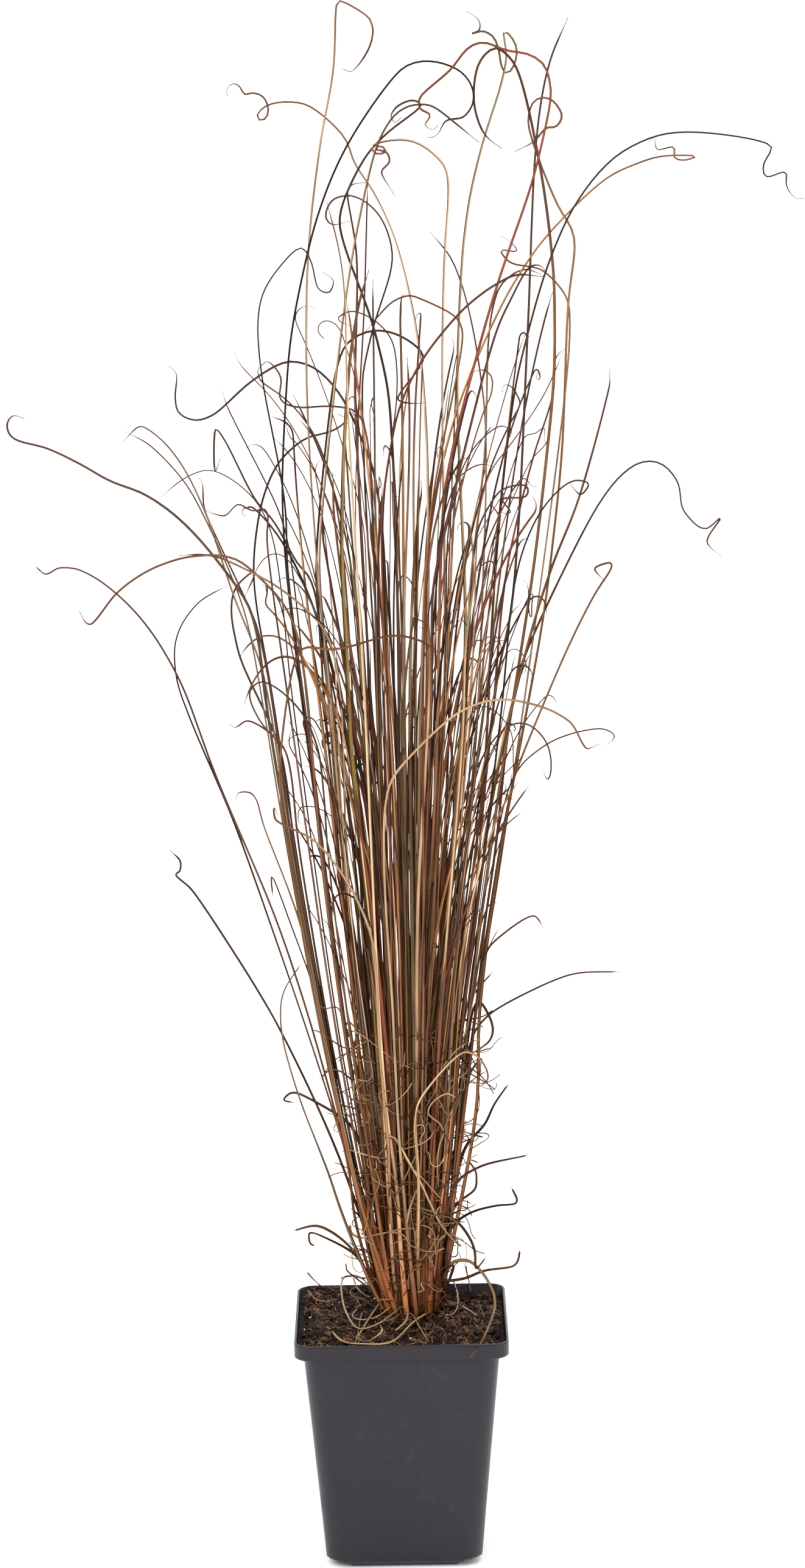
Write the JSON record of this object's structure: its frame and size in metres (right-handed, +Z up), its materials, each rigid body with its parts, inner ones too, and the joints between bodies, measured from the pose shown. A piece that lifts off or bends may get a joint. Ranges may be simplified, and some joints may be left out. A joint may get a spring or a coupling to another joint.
{
  "type": "potted sedge",
  "caption": "curly bronze ornamental sedge growing in a square anthracite nursery pot",
  "frame": {"origin": "middle of the pot's underside, on the plane it stands on", "axes": "+Z up along the plant's height; +X right and +Y away from the viewer of the picture, square to the pot's sides"},
  "size_m": [0.3971, 0.3753, 0.7997],
  "materials": {
    "pot_plastic": "anthracite moulded plastic, matt",
    "potting_mix": "dark fibrous potting mix with perlite",
    "leaf_tan": "dry tan sedge leaf, faintly shiny",
    "leaf_straw": "pale straw sedge leaf",
    "leaf_orange": "orange-bronze sedge leaf",
    "leaf_red": "red-brown sedge leaf",
    "leaf_brown": "brown sedge leaf",
    "leaf_dark": "near-black sedge leaf",
    "leaf_olive": "olive-bronze sedge leaf"
  },
  "bodies": {
    "root": {"pot": "pot_plastic", "soil": "potting_mix", "shoot_01": "leaf_tan", "shoot_02": "leaf_dark", "shoot_03": "leaf_tan", "shoot_04": "leaf_tan", "shoot_05": "leaf_dark", "shoot_06": "leaf_tan", "shoot_07": "leaf_straw", "shoot_08": "leaf_red", "shoot_09": "leaf_brown", "shoot_10": "leaf_orange", "shoot_11": "leaf_orange", "shoot_12": "leaf_dark", "shoot_13": "leaf_orange", "shoot_14": "leaf_red", "shoot_15": "leaf_straw", "shoot_16": "leaf_red", "shoot_17": "leaf_dark", "shoot_18": "leaf_orange", "shoot_19": "leaf_tan", "shoot_20": "leaf_red", "shoot_21": "leaf_red", "shoot_22": "leaf_tan", "shoot_23": "leaf_dark", "shoot_24": "leaf_olive", "shoot_25": "leaf_dark", "shoot_26": "leaf_olive", "shoot_27": "leaf_brown", "shoot_28": "leaf_brown", "shoot_29": "leaf_olive", "shoot_30": "leaf_tan", "shoot_31": "leaf_dark", "shoot_32": "leaf_dark", "shoot_33": "leaf_dark", "shoot_34": "leaf_brown", "shoot_35": "leaf_dark", "shoot_36": "leaf_dark", "shoot_37": "leaf_orange", "shoot_38": "leaf_brown", "shoot_39": "leaf_tan", "shoot_40": "leaf_tan", "shoot_41": "leaf_dark", "shoot_42": "leaf_tan", "shoot_43": "leaf_orange", "shoot_44": "leaf_tan", "shoot_45": "leaf_brown", "shoot_46": "leaf_orange", "shoot_47": "leaf_dark", "shoot_48": "leaf_dark", "shoot_49": "leaf_red", "shoot_50": "leaf_dark", "shoot_51": "leaf_dark", "shoot_52": "leaf_straw"}
  },
  "joints": []
}
